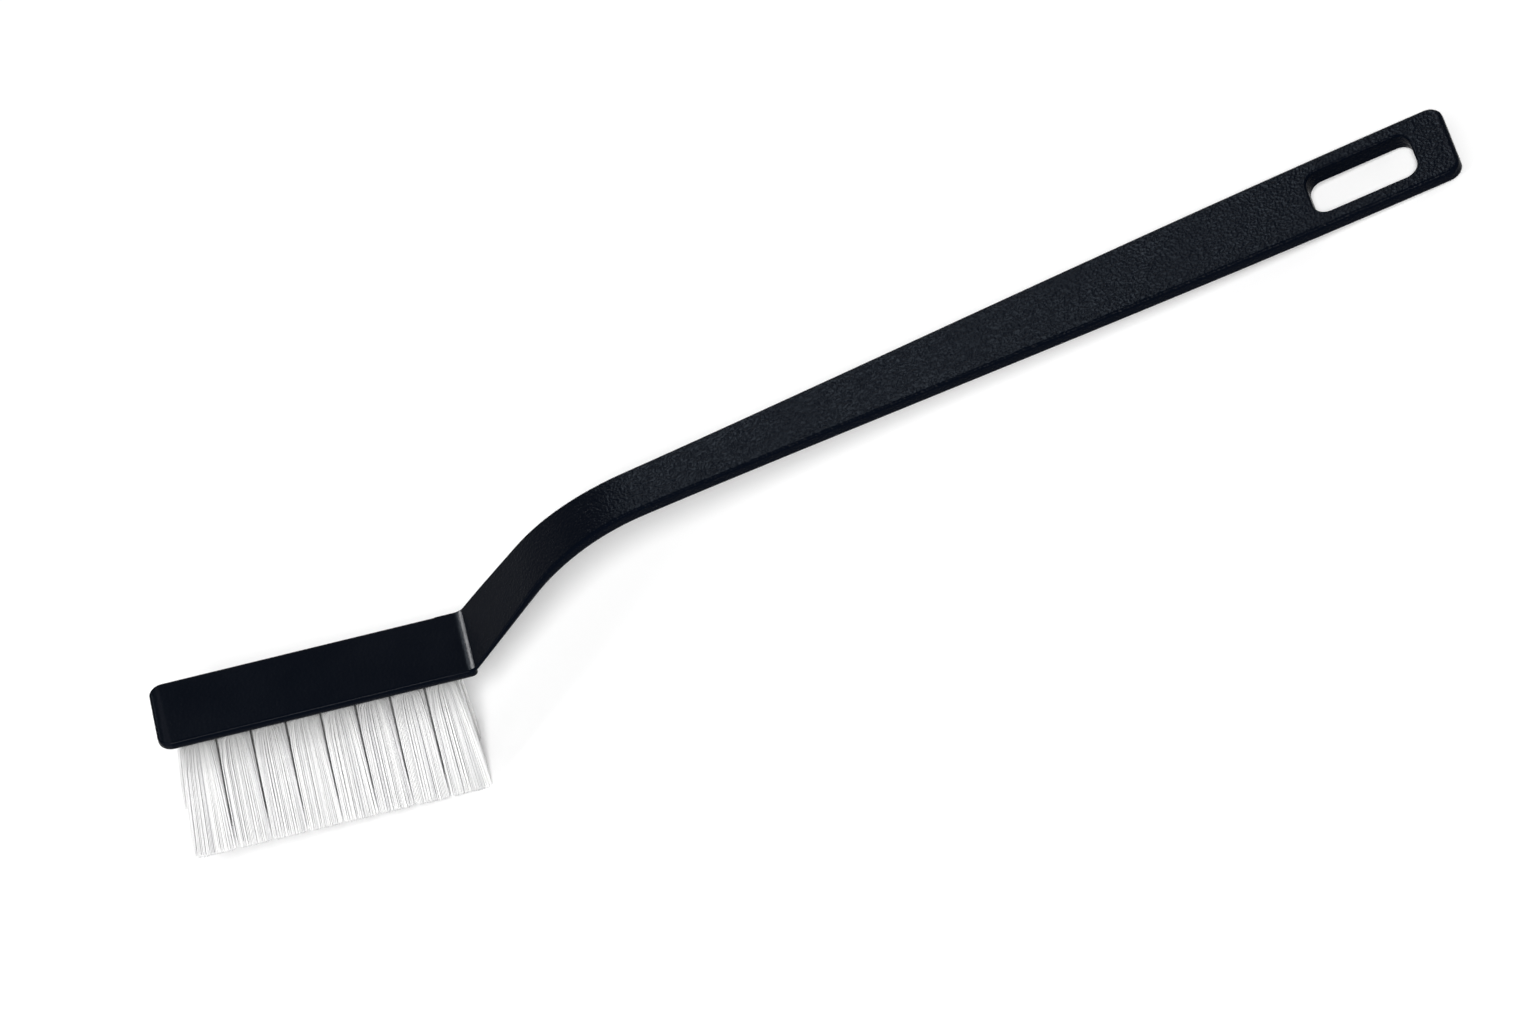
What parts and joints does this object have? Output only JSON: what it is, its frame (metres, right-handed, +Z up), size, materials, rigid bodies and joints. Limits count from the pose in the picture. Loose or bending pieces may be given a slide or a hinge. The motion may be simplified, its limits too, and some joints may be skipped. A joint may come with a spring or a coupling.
{
  "type": "polishing pad cleaning brush",
  "caption": "Toothbrush-shaped hand brush with a flat cranked black handle, a hang slot and staggered rows of stiff white nylon tufts, for cleaning polishing pads.",
  "frame": {"origin": "on the table under the middle of the brush, as it rests on the heel of its bristles and the end of its handle", "axes": "+X along the brush from the head to the handle's end, +Y across, +Z up"},
  "size_m": [0.2258, 0.0138, 0.0473],
  "materials": {
    "handle_plastic": "satin black moulding with a fine leather-like grain",
    "nylon": "white drawn filaments",
    "anchor_steel": "flat drawn wire"
  },
  "bodies": {
    "root": {"handle": "handle_plastic", "tuft_front_1": "nylon", "tuft_front_2": "nylon", "tuft_front_3": "nylon", "tuft_front_4": "nylon", "tuft_front_5": "nylon", "tuft_front_6": "nylon", "tuft_front_7": "nylon", "tuft_front_8": "nylon", "tuft_middle_1": "nylon", "tuft_middle_2": "nylon", "tuft_middle_3": "nylon", "tuft_middle_4": "nylon", "tuft_middle_5": "nylon", "tuft_middle_6": "nylon", "tuft_middle_7": "nylon", "tuft_back_1": "nylon", "tuft_back_2": "nylon", "tuft_back_3": "nylon", "tuft_back_4": "nylon", "tuft_back_5": "nylon", "tuft_back_6": "nylon", "tuft_back_7": "nylon", "tuft_back_8": "nylon", "anchor_front_1": "anchor_steel", "anchor_front_2": "anchor_steel", "anchor_front_3": "anchor_steel", "anchor_front_4": "anchor_steel", "anchor_front_5": "anchor_steel", "anchor_front_6": "anchor_steel", "anchor_front_7": "anchor_steel", "anchor_front_8": "anchor_steel", "anchor_middle_1": "anchor_steel", "anchor_middle_2": "anchor_steel", "anchor_middle_3": "anchor_steel", "anchor_middle_4": "anchor_steel", "anchor_middle_5": "anchor_steel", "anchor_middle_6": "anchor_steel", "anchor_middle_7": "anchor_steel", "anchor_back_1": "anchor_steel", "anchor_back_2": "anchor_steel", "anchor_back_3": "anchor_steel", "anchor_back_4": "anchor_steel", "anchor_back_5": "anchor_steel", "anchor_back_6": "anchor_steel", "anchor_back_7": "anchor_steel", "anchor_back_8": "anchor_steel"}
  },
  "joints": []
}
